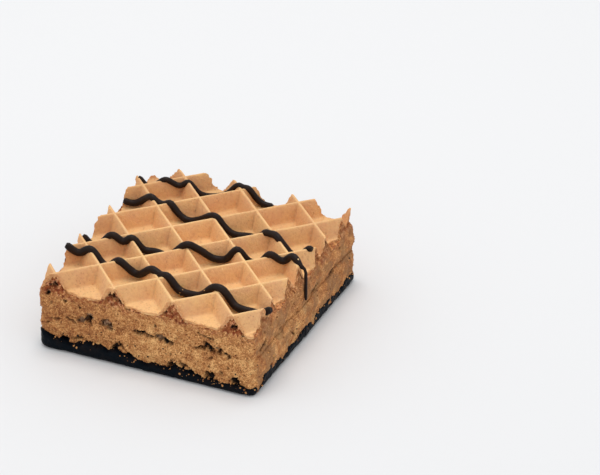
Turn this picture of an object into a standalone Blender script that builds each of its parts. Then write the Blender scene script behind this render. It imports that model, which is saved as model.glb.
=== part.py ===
# Chocolate coated wafer: a square with a pocketed wafer sheet on top, two layers of crumbly
# cocoa cream filling and a chocolate base, crossed by four thick chocolate lines.
# Metres, +Z up. The origin is the centre of the flat underside, +X runs along the front side.

import math

import bmesh
import bpy
import numpy as np
from mathutils import Matrix, Vector, noise

# Layers
BODY_HALF_X = 0.0255        # half width of the filling layers
BODY_HALF_Y = 0.0263        # half depth of the filling layers
CORNER_RADIUS = 0.0012      # upright corners of the cut square
RIDGE_TOP = 0.0185          # height of the sheet's ridges
SEAM_HEIGHT = 0.0084        # the seam between the two filling layers
LAYER_GAP = 0.0003          # air between pieces that touch
SIDE_STEPS = 24             # steps between the upright columns of a cut side, an even number

# Wafer sheet: square pockets on a lattice turned 45 degrees to the sides
POCKET_PITCH = 0.0100
POCKET_DEPTH = 0.0039
POCKET_DISH = 0.0003        # how much a pocket's floor sags at its middle
CREST_HALF = 0.00016        # half width of a ridge's flat top
WALL_RUN = 0.0018           # how far a pocket wall leans over its height
SHEET_THICKNESS = 0.00055
LATTICE_CENTRE = (-0.0013, -0.0044)   # a ridge crossing, off the middle as the square was cut
SHEET_RAGGED = 0.0006       # how far the broken edge wanders
RIDGE_HOLLOW = 0.0009       # the filling stops this far short of the hollow under a ridge

# Where the sheet's edge has broken away, or stands out where the amount is negative:
# x, y, depth, reach
SHEET_CHIPS = (
    (-0.0255, -0.0244, -0.0005, 0.0022),
    (-0.0255, -0.0216, 0.0003, 0.0009),
    (-0.0088, 0.0262, -0.0015, 0.0030),
    (-0.0210, 0.0262, -0.0007, 0.0016),
    (0.0254, -0.0122, 0.0005, 0.0016),
    (0.0254, 0.0150, 0.0008, 0.0014),
)

# How far a layer stands out from the cut square on its left, right, front and back
BASE_OUT = (0.0010, 0.0004, 0.0016, 0.0006)
UPPER_OUT = (0.0, -0.0003, 0.0, 0.0)
SHEET_OUT = (-0.0001, -0.0008, 0.0, 0.0002)
BULGE = (0.00066, 0.0003, 0.0003, 0.0003)   # each filling layer bulges between its edges

# Where the filling and the base swell at a corner: x, y, amount, reach
CORNER_SWELLS = (
    (-0.0255, -0.0255, 0.00055, 0.0030),
)

# Where the base alone is rounder at its front corners
BASE_CORNERS = (
    (-0.0252, -0.0260, -0.0005, 0.0012),
    (0.0252, -0.0260, -0.0003, 0.0014),
)

# Chocolate base, the widest layer
TRAY_FLOOR = 0.0012         # thickness under the filling
TRAY_WALL = 0.0008          # thickness up the sides
RIM_MEAN = 0.0027           # usual height of the chocolate on the sides
RIM_SWING = 0.0010
RIM_CALM = 0.5              # how much less it swings along the front
RIM_LEAST = 0.0018
RIM_BEVEL = 0.0003          # rounding of the rim's edge
BOTTOM_ROUNDING = 0.0011
ROUNDING_MIDDLE = 0.3       # inset and height of the rounding's middle, as a share of it
BASE_WANDER = 0.0003        # how far its sides wander inwards

# Where the chocolate climbs higher or stays lower: x, y, extra height, reach
RIM_SWELLS = (
    (-0.0265, -0.0268, 0.0020, 0.0026),
    (-0.0216, -0.0276, -0.0013, 0.0010),
    (-0.0147, -0.0276, 0.0011, 0.0014),
    (-0.0073, -0.0276, 0.0015, 0.0010),
    (-0.0187, -0.0263, -0.0010, 0.0011),
    (-0.0118, -0.0263, 0.0006, 0.0014),
    (0.0005, -0.0276, -0.0007, 0.0030),
    (0.0048, -0.0263, -0.0007, 0.0012),
    (0.0070, -0.0276, 0.0012, 0.0012),
    (0.0170, -0.0263, -0.0012, 0.0050),
    (0.0259, -0.0260, -0.0006, 0.0024),
    (0.0259, -0.0200, 0.0030, 0.0017),
    (0.0259, -0.0115, -0.0007, 0.0030),
    (0.0259, 0.0050, 0.0008, 0.0045),
    (-0.0265, 0.0100, 0.0014, 0.0040),
    (0.0080, 0.0268, 0.0018, 0.0045),
)

# Where the filling's foot stands out over the rim: x, y, amount, reach
FOOT_SWELLS = (
    (0.0165, -0.0263, 0.0006, 0.0045),
)

# Hollows along the seam, one under each row of pockets
VOID_PITCH = POCKET_PITCH * math.sqrt(2.0)
VOID_START = 0.0015         # the middle of the hollow nearest to a side's middle
VOID_LENGTH = 0.0070
VOID_DEPTH = 0.0020
NOTCH_DEPTH = 0.0006        # the seam's groove between the hollows
BELLY_HOLLOW = 0.2          # share of the hollows' depth that the lower layer's middle follows
CRAG_BROAD = 0.00030        # crumbly relief of the sides
CRAG_FINE = 0.00028

# Rings of the upper layer's side: height above the seam, share of the bulge, share of the hollows
UPPER_RINGS = (
    (0.0, 0.0, 1.0), (0.0013, 0.3, 0.25), (0.0030, 1.0, 0.0), (0.0047, 0.3, 0.0), (0.0100, -1.0, 0.0),
)

# Chocolate lines from the left edge to the right, through the places where each crosses a ridge or
# bends. A line's middle is lifted above the relief, which is softened along it by its softness.
CHOCOLATE_LINES = (
    {"radius": 0.00086, "softness": 0.00095, "lift": 0.0010, "points": (
        (-0.0256, -0.0148), (-0.0205, -0.0138), (-0.0125, -0.0154), (-0.0085, -0.0150),
        (-0.0040, -0.0162), (0.0000, -0.0170), (0.0050, -0.0175), (0.0110, -0.0174), (0.0155, -0.0178),
        (0.0190, -0.0186), (0.0256, -0.0184))},
    {"radius": 0.00080, "softness": 0.0005, "lift": 0.0010, "points": (
        (-0.0250, -0.0080), (-0.0180, -0.0070), (-0.0135, -0.0058), (-0.0090, -0.0045),
        (-0.0050, -0.0052), (-0.0015, -0.0044), (0.0040, -0.0020), (0.0100, -0.0009), (0.0130, 0.0000),
        (0.0172, -0.0002), (0.0206, 0.0008), (0.0228, 0.0002), (0.0247, -0.0009))},
    {"radius": 0.00078, "softness": 0.0013, "lift": 0.0006, "points": (
        (-0.0252, 0.0122), (-0.0210, 0.0133), (-0.0175, 0.0121), (-0.0145, 0.0120), (-0.0090, 0.0115),
        (-0.0060, 0.0118), (-0.0020, 0.0104), (0.0035, 0.0100), (0.0075, 0.0106), (0.0113, 0.0089),
        (0.0139, 0.0083), (0.0170, 0.0068), (0.0242, 0.0062))},
    {"radius": 0.00068, "softness": 0.0010, "lift": 0.0005, "points": (
        (-0.0250, 0.0195), (-0.0205, 0.0201), (-0.0160, 0.0216), (-0.0100, 0.0232), (-0.0050, 0.0252),
        (0.0000, 0.0250), (0.0060, 0.0250))},
)
LINE_STEP = 0.0012          # between the rings of a line
LINE_CLEARANCE = 0.0003     # its middle stays this far above the sheet
LINE_SETTLE = 0.0008        # how far its heights are evened out at the end
LINE_TIPS = (0.52, 0.91)    # thickness of the two outermost rings at either end, as shares
CURVE_SAMPLES = 24          # samples of a line's curve between two of its points
DRIP_LINE = 1               # the line that runs on down the right side
DRIP_RADIUS = 0.00040
DRIP_TAPER = 0.0022         # length over which the line thins to it before the edge
DRIP_OUT = 0.0003           # the drip's middle outside the filling's side
DRIP_BENDS = ((0.0003, 0.0005), (0.0, 0.0015))   # inwards and downwards from the edge, at its bends
DRIP_END = 0.0099           # height of its lower end
DRIP_GROOVE = 0.0009        # how far the filling gives way behind it
DRIP_GROOVE_HALF = 0.0011   # half width of that groove's middle

# The layers stand out unevenly, so the whole moves by this to centre its box
CENTRE_SHIFT = (0.00024, 0.00007)

SAME_POINT = 0.000002       # nearer vertices are one


def new_material(name, colour, roughness):
    mat = bpy.data.materials.new(name)
    mat.use_nodes = True
    shader = mat.node_tree.nodes["Principled BSDF"]
    shader.inputs["Base Color"].default_value = (*colour, 1.0)
    shader.inputs["Roughness"].default_value = roughness
    shader.inputs["Metallic"].default_value = 0.0
    return mat


def mesh_from(bm, name):
    bmesh.ops.recalc_face_normals(bm, faces=bm.faces)
    mesh = bpy.data.meshes.new(name)
    bm.to_mesh(mesh)
    bm.free()
    return mesh


def object_from(bm, name):
    obj = bpy.data.objects.new(name, mesh_from(bm, name))
    bpy.context.scene.collection.objects.link(obj)
    return obj


def wander(x, y, z, scale, seed):
    # smooth unevenness between about -0.7 and 0.7, the same on every run
    offset = Vector((17.3, -5.1, 9.7)) * seed
    return noise.noise(Vector((x, y, z)) / scale + offset)


# The pocketed relief

def lattice_to_plan(a, b):
    # a and b count ridges along the lattice's two directions
    half = POCKET_PITCH * math.sqrt(0.5)
    return LATTICE_CENTRE[0] + (a + b) * half, LATTICE_CENTRE[1] + (a - b) * half


def ridge_distance(x, y):
    # distance from the nearest ridge, in plan
    diagonal = POCKET_PITCH * math.sqrt(2.0)
    a = (x - LATTICE_CENTRE[0] + y - LATTICE_CENTRE[1]) / diagonal
    b = (x - LATTICE_CENTRE[0] - y + LATTICE_CENTRE[1]) / diagonal
    return POCKET_PITCH * min(abs(a - round(a)), abs(b - round(b)))


def relief_height(x, y):
    lean = (ridge_distance(x, y) - CREST_HALF) / WALL_RUN
    return RIDGE_TOP - POCKET_DEPTH * min(max(lean, 0.0), 1.0)


def top_profile():
    # (distance from a ridge, height) pairs of the sheet's top, from the ridge inwards
    floor = RIDGE_TOP - POCKET_DEPTH
    return ((0.0, RIDGE_TOP), (CREST_HALF, RIDGE_TOP), (CREST_HALF + WALL_RUN, floor),
            (POCKET_PITCH / 2, floor - POCKET_DISH))


def under_profile(thickness):
    # the same for a surface this far under the sheet's top
    slope = POCKET_DEPTH / WALL_RUN
    ridge = RIDGE_TOP + slope * CREST_HALF - thickness * math.hypot(1.0, slope)
    floor = RIDGE_TOP - POCKET_DEPTH - POCKET_DISH - thickness
    return ((0.0, ridge), ((ridge - floor) / slope, floor), (POCKET_PITCH / 2, floor))


def filling_profile():
    # the filling keeps clear of the sheet and stops short of the hollow's top under a ridge
    ridge, shoulder, floor = under_profile(SHEET_THICKNESS + LAYER_GAP)
    return ((0.0, ridge[1] - RIDGE_HOLLOW), shoulder, floor)


def lattice_block(name, profile, depth):
    # a block down to this depth, whose top repeats the profile about every ridge
    reach = math.ceil((BODY_HALF_X + BODY_HALF_Y) / POCKET_PITCH * math.sqrt(0.5)) + 1
    distances = [distance for distance, _ in profile]
    heights = [height for _, height in profile]
    lines = []
    for cell in range(-reach, reach):
        lines += [cell + distance / POCKET_PITCH for distance in distances]
        lines += [cell + 1 - distance / POCKET_PITCH for distance in distances[-2:0:-1]]
    bm = bmesh.new()
    grid = []
    for a in lines:
        row = []
        for b in lines:
            x, y = lattice_to_plan(a, b)
            nearest = POCKET_PITCH * min(abs(a - round(a)), abs(b - round(b)))
            row.append(bm.verts.new((x, y, np.interp(nearest, distances, heights))))
        grid.append(row)
    last = len(lines) - 1
    for i in range(last):
        for j in range(last):
            low, side_a, high, side_b = grid[i][j], grid[i + 1][j], grid[i + 1][j + 1], grid[i][j + 1]
            # the crease of a pocket's corner points to the pocket's middle
            rising_a = (lines[i] + lines[i + 1]) / 2 % 1.0 < 0.5
            rising_b = (lines[j] + lines[j + 1]) / 2 % 1.0 < 0.5
            if rising_a == rising_b:
                bm.faces.new((low, side_a, high))
                bm.faces.new((low, high, side_b))
            else:
                bm.faces.new((low, side_a, side_b))
                bm.faces.new((side_a, high, side_b))
    border = [grid[i][0] for i in range(last)] + [grid[last][j] for j in range(last)]
    border += [grid[i][last] for i in range(last, 0, -1)] + [grid[0][j] for j in range(last, 0, -1)]
    foot = [bm.verts.new((vert.co.x, vert.co.y, depth)) for vert in border]
    for k, vert in enumerate(border):
        following = (k + 1) % len(border)
        bm.faces.new((vert, border[following], foot[following], foot[k]))
    bm.faces.new(foot)
    return object_from(bm, name)


# The cut sides

def side_columns():
    # (point, outward direction) pairs around the filling's cut sides
    columns = []
    centres = [Vector((sx * (BODY_HALF_X - CORNER_RADIUS), sy * (BODY_HALF_Y - CORNER_RADIUS)))
               for sx, sy in ((-1, -1), (1, -1), (1, 1), (-1, 1))]
    for corner, centre in enumerate(centres):
        for step in range(3):
            angle = math.radians(180 + 90 * corner + 45 * step)
            outward = Vector((math.cos(angle), math.sin(angle)))
            columns.append((centre + outward * CORNER_RADIUS, outward))
        start, outward = columns[-1]
        end = centres[(corner + 1) % 4] + outward * CORNER_RADIUS
        for step in range(1, SIDE_STEPS):
            columns.append((start.lerp(end, step / SIDE_STEPS), outward))
    return columns


def ring(height, outset):
    # both are functions of a column's point and outward direction
    points = []
    for point, outward in side_columns():
        placed = point + outward * outset(point, outward)
        points.append((placed.x, placed.y, height(point, outward)))
    return points


def level(value):
    return lambda point, outward: value


def loft(name, rings):
    # closed body through rings of points, from its flat lower face to its flat upper face
    bm = bmesh.new()
    rows = [[bm.verts.new(point) for point in points] for points in rings]
    count = len(rows[0])
    for lower, upper in zip(rows, rows[1:]):
        for k in range(count):
            following = (k + 1) % count
            bm.faces.new((lower[k], lower[following], upper[following], upper[k]))
    for row in (rows[0], rows[-1]):
        middle = bm.verts.new((0.0, 0.0, row[0].co.z))
        for k in range(count):
            bm.faces.new((middle, row[k], row[(k + 1) % count]))
    bmesh.ops.triangulate(bm, faces=bm.faces)
    return object_from(bm, name)


def local_sum(x, y, places):
    # total of the (x, y, amount, reach) entries at a point
    total = 0.0
    for place_x, place_y, amount, reach in places:
        total += amount * math.exp(-((x - place_x) ** 2 + (y - place_y) ** 2) / (2 * reach ** 2))
    return total


def side_out(outs, outward):
    # the layer's share of the side that this direction faces, blended round the corners
    left, right, front, back = outs
    out_x = right if outward.x > 0.0 else left
    out_y = back if outward.y > 0.0 else front
    return outward.x ** 2 * out_x + outward.y ** 2 * out_y


def rim_height(point):
    calm = RIM_CALM if point.y < -BODY_HALF_Y + CORNER_RADIUS else 0.0
    swing = RIM_SWING * (1.0 - calm)
    height = RIM_MEAN + swing * wander(point.x, point.y, 0.0, 0.0047, 3)
    height += 0.6 * swing * wander(point.x, point.y, 0.0, 0.0019, 4)
    return max(height + local_sum(point.x, point.y, RIM_SWELLS), RIM_LEAST)


def above_rim(extra):
    return lambda point, outward: rim_height(point) + extra


def base_outset(inset=0.0):
    # from the filling's side to the chocolate's outside, less an inset
    def outset(point, outward):
        swells = local_sum(point.x, point.y, CORNER_SWELLS + BASE_CORNERS)
        return side_out(BASE_OUT, outward) + swells - inset
    return outset


def crag(point, z, seed):
    broad = CRAG_BROAD * wander(point.x, point.y, z, 0.0060, seed)
    fine = CRAG_FINE * wander(point.x, point.y, z, 0.0021, seed + 1)
    return broad + fine + local_sum(point.x, point.y, CORNER_SWELLS)


def seam_depth(point, outward):
    # the seam's groove, deeper in its hollows
    if max(abs(outward.x), abs(outward.y)) < 0.9:
        return NOTCH_DEPTH
    along = point.x if abs(outward.y) > 0.9 else point.y
    from_middle = (along - VOID_START + VOID_PITCH / 2) % VOID_PITCH - VOID_PITCH / 2
    share = max(0.0, 1.0 - (2 * from_middle / VOID_LENGTH) ** 2)
    return NOTCH_DEPTH + VOID_DEPTH * share


def drip_groove(point, outward):
    # how far the right side gives way behind the drip
    if outward.x < 0.9:
        return 0.0
    from_drip = abs(point.y - CHOCOLATE_LINES[DRIP_LINE]["points"][-1][1])
    return DRIP_GROOVE * max(0.0, min(1.0, 2.0 - from_drip / DRIP_GROOVE_HALF))


# Boolean helpers

def boolean(obj, operation, cutter=None, collection=None):
    # with one object or a whole collection; applied, and what it used is removed
    mod = obj.modifiers.new(operation.lower(), "BOOLEAN")
    mod.operation = operation
    mod.solver = "EXACT"
    if collection:
        mod.operand_type = "COLLECTION"
        mod.collection = collection
    else:
        mod.object = cutter
    bpy.context.view_layer.update()
    evaluated = obj.evaluated_get(bpy.context.evaluated_depsgraph_get())
    mesh = bpy.data.meshes.new_from_object(evaluated)
    obj.modifiers.remove(mod)
    obj.data = mesh
    used = list(collection.objects) if collection else [cutter]
    for used_object in used:
        bpy.data.objects.remove(used_object)
    if collection:
        bpy.data.collections.remove(collection)


def take_shell(start, unseen):
    # the faces joined to this one, taken out of the unseen set
    shell = [start]
    queue = [start]
    unseen.discard(start)
    while queue:
        for edge in queue.pop().edges:
            for face in edge.link_faces:
                if face in unseen:
                    unseen.remove(face)
                    shell.append(face)
                    queue.append(face)
    return shell


def keep_main_body(obj):
    # sealed hollows are filled and loose scraps dropped, so one shell stays
    bm = bmesh.new()
    bm.from_mesh(obj.data)
    bmesh.ops.remove_doubles(bm, verts=bm.verts, dist=SAME_POINT)
    bmesh.ops.dissolve_degenerate(bm, edges=bm.edges, dist=SAME_POINT)
    bmesh.ops.triangulate(bm, faces=bm.faces)
    unseen = set(bm.faces)
    shells = []
    while unseen:
        shells.append(take_shell(next(iter(unseen)), unseen))
    shells.sort(key=len)
    for shell in shells[:-1]:
        bmesh.ops.delete(bm, geom=shell, context="FACES")
    loose = [vert for vert in bm.verts if not vert.link_faces]
    bmesh.ops.delete(bm, geom=loose, context="VERTS")
    obj.data = mesh_from(bm, obj.name)


# The chocolate lines

def smooth_route(points):
    # evenly spaced points on a smooth curve through the given ones
    control = np.array(points)
    padded = np.vstack((2 * control[0] - control[1], control, 2 * control[-1] - control[-2]))
    fine = []
    for p0, p1, p2, p3 in zip(padded, padded[1:], padded[2:], padded[3:]):
        for t in np.linspace(0.0, 1.0, CURVE_SAMPLES, endpoint=False):
            fine.append(0.5 * (2 * p1 + (p2 - p0) * t + (2 * p0 - 5 * p1 + 4 * p2 - p3) * t ** 2
                               + (3 * p1 - p0 - 3 * p2 + p3) * t ** 3))
    fine.append(control[-1])
    fine = np.array(fine)
    steps = np.linalg.norm(np.diff(fine[:, :2], axis=0), axis=1)
    lengths = np.concatenate(([0.0], np.cumsum(steps)))
    wanted = np.linspace(0.0, lengths[-1], round(lengths[-1] / LINE_STEP) + 1)
    return np.column_stack([np.interp(wanted, lengths, column) for column in fine.T])


def softened(heights, softness):
    # evened out along the line
    reach = math.ceil(3 * softness / LINE_STEP)
    weights = np.exp(-0.5 * (np.arange(-reach, reach + 1) * LINE_STEP / softness) ** 2)
    return np.convolve(np.pad(heights, reach, mode="edge"), weights / weights.sum(), mode="valid")


def draped_route(line):
    # laid on the relief, hanging a little between its ridges
    points = smooth_route(line["points"])
    relief = np.array([relief_height(x, y) for x, y in points])
    heights = np.maximum(softened(relief, line["softness"]) + line["lift"], relief + LINE_CLEARANCE)
    heights = softened(heights, LINE_SETTLE)
    return [Vector((x, y, z)) for (x, y), z in zip(points, heights)]


def drip(start):
    # on over the edge and down the right side
    outer_x = BODY_HALF_X + DRIP_OUT
    keys = [start]
    keys += [Vector((outer_x - inwards, start.y, start.z - downwards)) for inwards, downwards in DRIP_BENDS]
    keys.append(Vector((outer_x, start.y, DRIP_END)))
    route = []
    for above, below in zip(keys, keys[1:]):
        count = max(1, round((below - above).length / LINE_STEP))
        route += [above.lerp(below, (k + 1) / count) for k in range(count)]
    return route


def chocolate_line(number, collection):
    line = CHOCOLATE_LINES[number]
    route = draped_route(line)
    if number == DRIP_LINE:
        route += drip(route[-1])
    curve = bpy.data.curves.new("line", "CURVE")
    curve.dimensions = "3D"
    curve.bevel_depth = line["radius"]
    curve.bevel_resolution = 2
    curve.use_fill_caps = True
    spline = curve.splines.new("POLY")
    spline.points.add(len(route) - 1)
    for k, point in enumerate(route):
        swell = 1.0 + 0.12 * wander(point.x, point.y, 0.0, 0.0060, 21 + number)
        if number == DRIP_LINE:
            share = min(max(1.0 - (BODY_HALF_X - point.x) / DRIP_TAPER, 0.0), 1.0)
            swell += (DRIP_RADIUS / line["radius"] - swell) * share
        from_end = min(k, len(route) - 1 - k)
        tip = LINE_TIPS[from_end] if from_end < len(LINE_TIPS) else 1.0
        spline.points[k].co = (*point, 1.0)
        spline.points[k].radius = swell * tip
    guide = bpy.data.objects.new("line_guide", curve)
    bpy.context.scene.collection.objects.link(guide)
    bpy.context.view_layer.update()
    evaluated = guide.evaluated_get(bpy.context.evaluated_depsgraph_get())
    bm = bmesh.new()
    bm.from_mesh(bpy.data.meshes.new_from_object(evaluated))
    bpy.data.objects.remove(guide)
    bmesh.ops.remove_doubles(bm, verts=bm.verts, dist=SAME_POINT)
    name = "line_{}".format(number)
    collection.objects.link(bpy.data.objects.new(name, mesh_from(bm, name)))


# The pieces

def sheet_outline():
    # an upright prism of the sheet's broken outline
    def outset(point, outward):
        broad = wander(point.x, point.y, 0.0, 0.0032, 11) - 0.25
        fine = 0.4 * wander(point.x, point.y, 0.0, 0.0013, 12)
        whole = side_out(SHEET_OUT, outward) + SHEET_RAGGED * (broad + fine)
        return whole - local_sum(point.x, point.y, SHEET_CHIPS)

    low = level(RIDGE_TOP - 2 * POCKET_DEPTH)
    high = level(RIDGE_TOP + POCKET_DEPTH)
    return loft("sheet_outline", (ring(low, outset), ring(high, outset)))


def wafer_sheet():
    sheet = lattice_block("wafer_sheet", top_profile(), RIDGE_TOP - 1.6 * POCKET_DEPTH)
    underside = lattice_block("underside", under_profile(SHEET_THICKNESS), RIDGE_TOP - 2 * POCKET_DEPTH)
    boolean(sheet, "DIFFERENCE", cutter=underside)
    boolean(sheet, "INTERSECT", cutter=sheet_outline())
    keep_main_body(sheet)
    lines = bpy.data.collections.new("chocolate_lines")
    bpy.context.scene.collection.children.link(lines)
    for number in range(len(CHOCOLATE_LINES)):
        chocolate_line(number, lines)
    boolean(sheet, "UNION", collection=lines)
    keep_main_body(sheet)
    return sheet


def filling_upper():
    low = SEAM_HEIGHT + LAYER_GAP / 2

    def side_ring(z, bulge_share, hollow_share):
        def outset(point, outward):
            hollow = hollow_share * seam_depth(point, outward) + drip_groove(point, outward)
            bulge = bulge_share * side_out(BULGE, outward)
            return side_out(UPPER_OUT, outward) + bulge + crag(point, z, 31) - hollow
        return ring(level(z), outset)

    rings = [side_ring(low + rise, *shares) for rise, *shares in UPPER_RINGS]
    upper = loft("filling_upper", rings)
    boolean(upper, "INTERSECT", cutter=lattice_block("hollows", filling_profile(), SEAM_HEIGHT / 2))
    keep_main_body(upper)
    return upper


def filling_lower():
    tucked = base_outset(TRAY_WALL + BASE_WANDER + LAYER_GAP)
    high = SEAM_HEIGHT - LAYER_GAP / 2

    def waist(point, outward):
        return (rim_height(point) + high) / 2

    def proud(point, outward):
        return crag(point, RIM_MEAN, 41) + local_sum(point.x, point.y, FOOT_SWELLS)

    def belly(point, outward):
        bulge = side_out(BULGE, outward) - BELLY_HOLLOW * seam_depth(point, outward)
        foot = local_sum(point.x, point.y, FOOT_SWELLS) / 2
        return bulge + foot + crag(point, SEAM_HEIGHT / 2, 41)

    def groove(point, outward):
        return crag(point, high, 41) - seam_depth(point, outward)

    return loft("filling_lower", (ring(level(TRAY_FLOOR + LAYER_GAP), tucked),
                                  ring(above_rim(0.0), tucked),
                                  ring(above_rim(LAYER_GAP), proud),
                                  ring(waist, belly),
                                  ring(level(high), groove)))


def chocolate_base():
    def side(inset):
        # the full width is reached at the middle of each side
        full = base_outset(inset)

        def outset(point, outward):
            if min(abs(point.x), abs(point.y)) < BODY_HALF_X / SIDE_STEPS:
                return full(point, outward)
            share = 0.5 + 0.5 * wander(point.x, point.y, 0.0, 0.0050, 51)
            return full(point, outward) - BASE_WANDER * share
        return outset

    inner = base_outset(TRAY_WALL + BASE_WANDER)
    return loft("chocolate_base", (ring(level(0.0), side(BOTTOM_ROUNDING)),
                                   ring(level(ROUNDING_MIDDLE * BOTTOM_ROUNDING),
                                        side(ROUNDING_MIDDLE * BOTTOM_ROUNDING)),
                                   ring(level(BOTTOM_ROUNDING), side(0.0)),
                                   ring(above_rim(-RIM_BEVEL / 2), side(RIM_BEVEL)),
                                   ring(above_rim(-RIM_BEVEL), inner),
                                   ring(level(TRAY_FLOOR), inner)))


def finish(obj, mat):
    obj.data.transform(Matrix.Translation((*CENTRE_SHIFT, 0.0)))
    obj.data.materials.clear()
    obj.data.materials.append(mat)
    obj.data.shade_smooth()
    obj.data.set_sharp_from_angle(angle=math.radians(38.0))


def main():
    for obj in list(bpy.data.objects):
        bpy.data.objects.remove(obj)
    finish(wafer_sheet(), new_material("wafer_biscuit", (0.68, 0.38, 0.17), 0.75))
    finish(filling_upper(), new_material("upper_cocoa_crumb", (0.41, 0.20, 0.08), 0.85))
    finish(filling_lower(), new_material("lower_cocoa_crumb", (0.38, 0.18, 0.07), 0.85))
    finish(chocolate_base(), new_material("dark_chocolate", (0.014, 0.011, 0.012), 0.35))


main()
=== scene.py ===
import math
from functools import partial

import bpy
import numpy as np
from mathutils import Matrix, Vector, kdtree, noise


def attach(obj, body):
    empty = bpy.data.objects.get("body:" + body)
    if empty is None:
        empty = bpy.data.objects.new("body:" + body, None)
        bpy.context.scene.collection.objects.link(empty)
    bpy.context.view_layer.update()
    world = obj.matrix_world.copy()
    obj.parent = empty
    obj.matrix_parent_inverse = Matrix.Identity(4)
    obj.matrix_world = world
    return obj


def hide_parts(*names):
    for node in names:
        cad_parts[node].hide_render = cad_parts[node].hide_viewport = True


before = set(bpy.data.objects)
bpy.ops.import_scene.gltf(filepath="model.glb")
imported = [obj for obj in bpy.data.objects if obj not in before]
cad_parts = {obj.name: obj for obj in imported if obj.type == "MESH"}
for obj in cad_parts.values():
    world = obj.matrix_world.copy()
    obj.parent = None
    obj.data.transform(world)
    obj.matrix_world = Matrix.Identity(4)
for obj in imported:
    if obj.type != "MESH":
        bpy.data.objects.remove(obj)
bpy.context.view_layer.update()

mm = 0.001


def lengths(**values):
    # a dictionary of lengths, given in mm
    return {name: value * mm for name, value in values.items()}


def placesInMm(*places):
    return tuple(tuple(value * mm for value in place) for place in places)


# The cut square that every layer shares. Shapes are made about its middle, then moved by the shift.
square = lengths(halfX=25.5, halfY=26.3, corner=1.2, shiftX=0.24, shiftY=0.07)

# The moulded pockets of the wafer sheet, on a lattice turned 45 degrees to the sides
pockets = lengths(
    pitch=10.0,                # from ridge to ridge
    depth=3.9,
    dish=0.3,                  # sag of a pocket's floor
    crest=0.16,                # half width of a ridge's top
    wallRun=1.8,               # lean of a pocket's wall
    ridgeTop=18.5,
    thickness=0.38,
    centreX=-1.3,              # a ridge crossing
    centreY=-4.4,
)
seamHeight = 8.4 * mm          # between the two filling layers


# small helpers

def linearColour(hexCode):
    # sRGB hex to linear
    parts = [int(hexCode[k:k + 2], 16) / 255 for k in (1, 3, 5)]
    return tuple(c / 12.92 if c <= 0.04045 else ((c + 0.055) / 1.055) ** 2.4 for c in parts) + (1.0,)


def fillInputs(tree, node, inputs):
    # values or other nodes' outputs, by the inputs' names or else in their order
    if isinstance(inputs, dict):
        pairs = [(node.inputs[name], value) for name, value in inputs.items()]
    else:
        pairs = list(zip([socket for socket in node.inputs if socket.enabled], inputs))
    for socket, value in pairs:
        if isinstance(value, bpy.types.NodeSocket):
            tree.links.new(value, socket)
        elif value is not None:
            socket.default_value = value


def addNode(tree, kind, inputs=(), out=0, **settings):
    # a node with its settings and links; kind is its type's last words, out the output that is wanted
    families = ("ShaderNode", "GeometryNode", "FunctionNode")
    node = tree.nodes.new(next(family + kind for family in families if hasattr(bpy.types, family + kind)))
    for name, value in settings.items():
        setattr(node, name, value)
    fillInputs(tree, node, inputs)
    return node.outputs[out] if isinstance(out, str) else [s for s in node.outputs if s.enabled][out]


def workOut(add, known, *steps):
    # maths nodes, one for each step: the result's name, the operation, and numbers or names of results
    for step in steps:
        name, operation, *terms = step.split()
        values = [known[term] if term in known else float(term) for term in terms]
        known[name] = add("Math", values, operation=operation)


def uneven(x, y, z, scale, seed):
    # smooth unevenness, about -0.7 to 0.7
    return noise.noise((x / scale + 17.3 * seed, y / scale - 5.1 * seed, z / scale + 9.7 * seed))


def smoothStep(share):
    share = np.clip(share, 0.0, 1.0)
    return share * share * (3 - 2 * share)


def makeObject(name, data):
    obj = bpy.data.objects.new(name, data)
    bpy.context.scene.collection.objects.link(obj)
    return obj


def evaluatedMesh(obj, name):
    # the finished mesh of an object with modifiers
    bpy.context.view_layer.update()
    result = bpy.data.meshes.new_from_object(obj.evaluated_get(bpy.context.evaluated_depsgraph_get()))
    result.name = name
    return result


def bakeTree(obj, tree, values):
    # runs a Geometry Nodes tree with these named inputs on an object and keeps its plain mesh
    mod = obj.modifiers.new("shape", "NODES")
    mod.node_group = tree
    for item in tree.interface.items_tree:
        if item.in_out == "INPUT" and item.name in values:
            mod[item.identifier] = values[item.name]
    name = obj.name
    mesh = evaluatedMesh(obj, name + "Mesh")
    bpy.data.objects.remove(obj)
    return makeObject(name, mesh)


def newGeometryTree(name, sizes):
    # sizes: the socket type of each named input
    tree = bpy.data.node_groups.new(name, "GeometryNodeTree")
    for way in ("INPUT", "OUTPUT"):
        tree.interface.new_socket("Geometry", in_out=way, socket_type="NodeSocketGeometry")
    for label, kind in sizes.items():
        tree.interface.new_socket(label, in_out="INPUT", socket_type="NodeSocket" + kind)
    given = {socket.name.replace(" ", ""): socket for socket in tree.nodes.new("NodeGroupInput").outputs}
    return tree, partial(addNode, tree), given


def finishTree(tree, geometry, material):
    real = addNode(tree, "RealizeInstances", {"Geometry": geometry})
    painted = addNode(tree, "SetMaterial", {"Geometry": real, "Material": material})
    tree.links.new(painted, tree.nodes.new("NodeGroupOutput").inputs[0])
    return tree


def noisePush(add, scale, amount, detail):
    # pushes every point its own way, by soft noise
    cloud = add("TexNoise", {"Vector": add("InputPosition"), "Scale": scale, "Detail": detail}, "Color")
    centred = add("VectorMath", (cloud, (0.5, 0.5, 0.5)), operation="SUBTRACT")
    return add("VectorMath", {0: centred, "Scale": amount}, operation="SCALE")


def handOver(obj, slotName, *nodes):
    print(obj.name + ":", len(obj.data.polygons), "faces")
    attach(obj, "root")
    if nodes:
        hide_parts(*nodes)
    return obj


def finishPiece(obj, slotName, *nodes):
    # centres the shape, then attaches it to the root body and hides the CAD parts it replaces
    obj.data.transform(Matrix.Translation((square["shiftX"], square["shiftY"], 0)))
    obj.data.update()
    return handOver(obj, slotName, *nodes)


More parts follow.
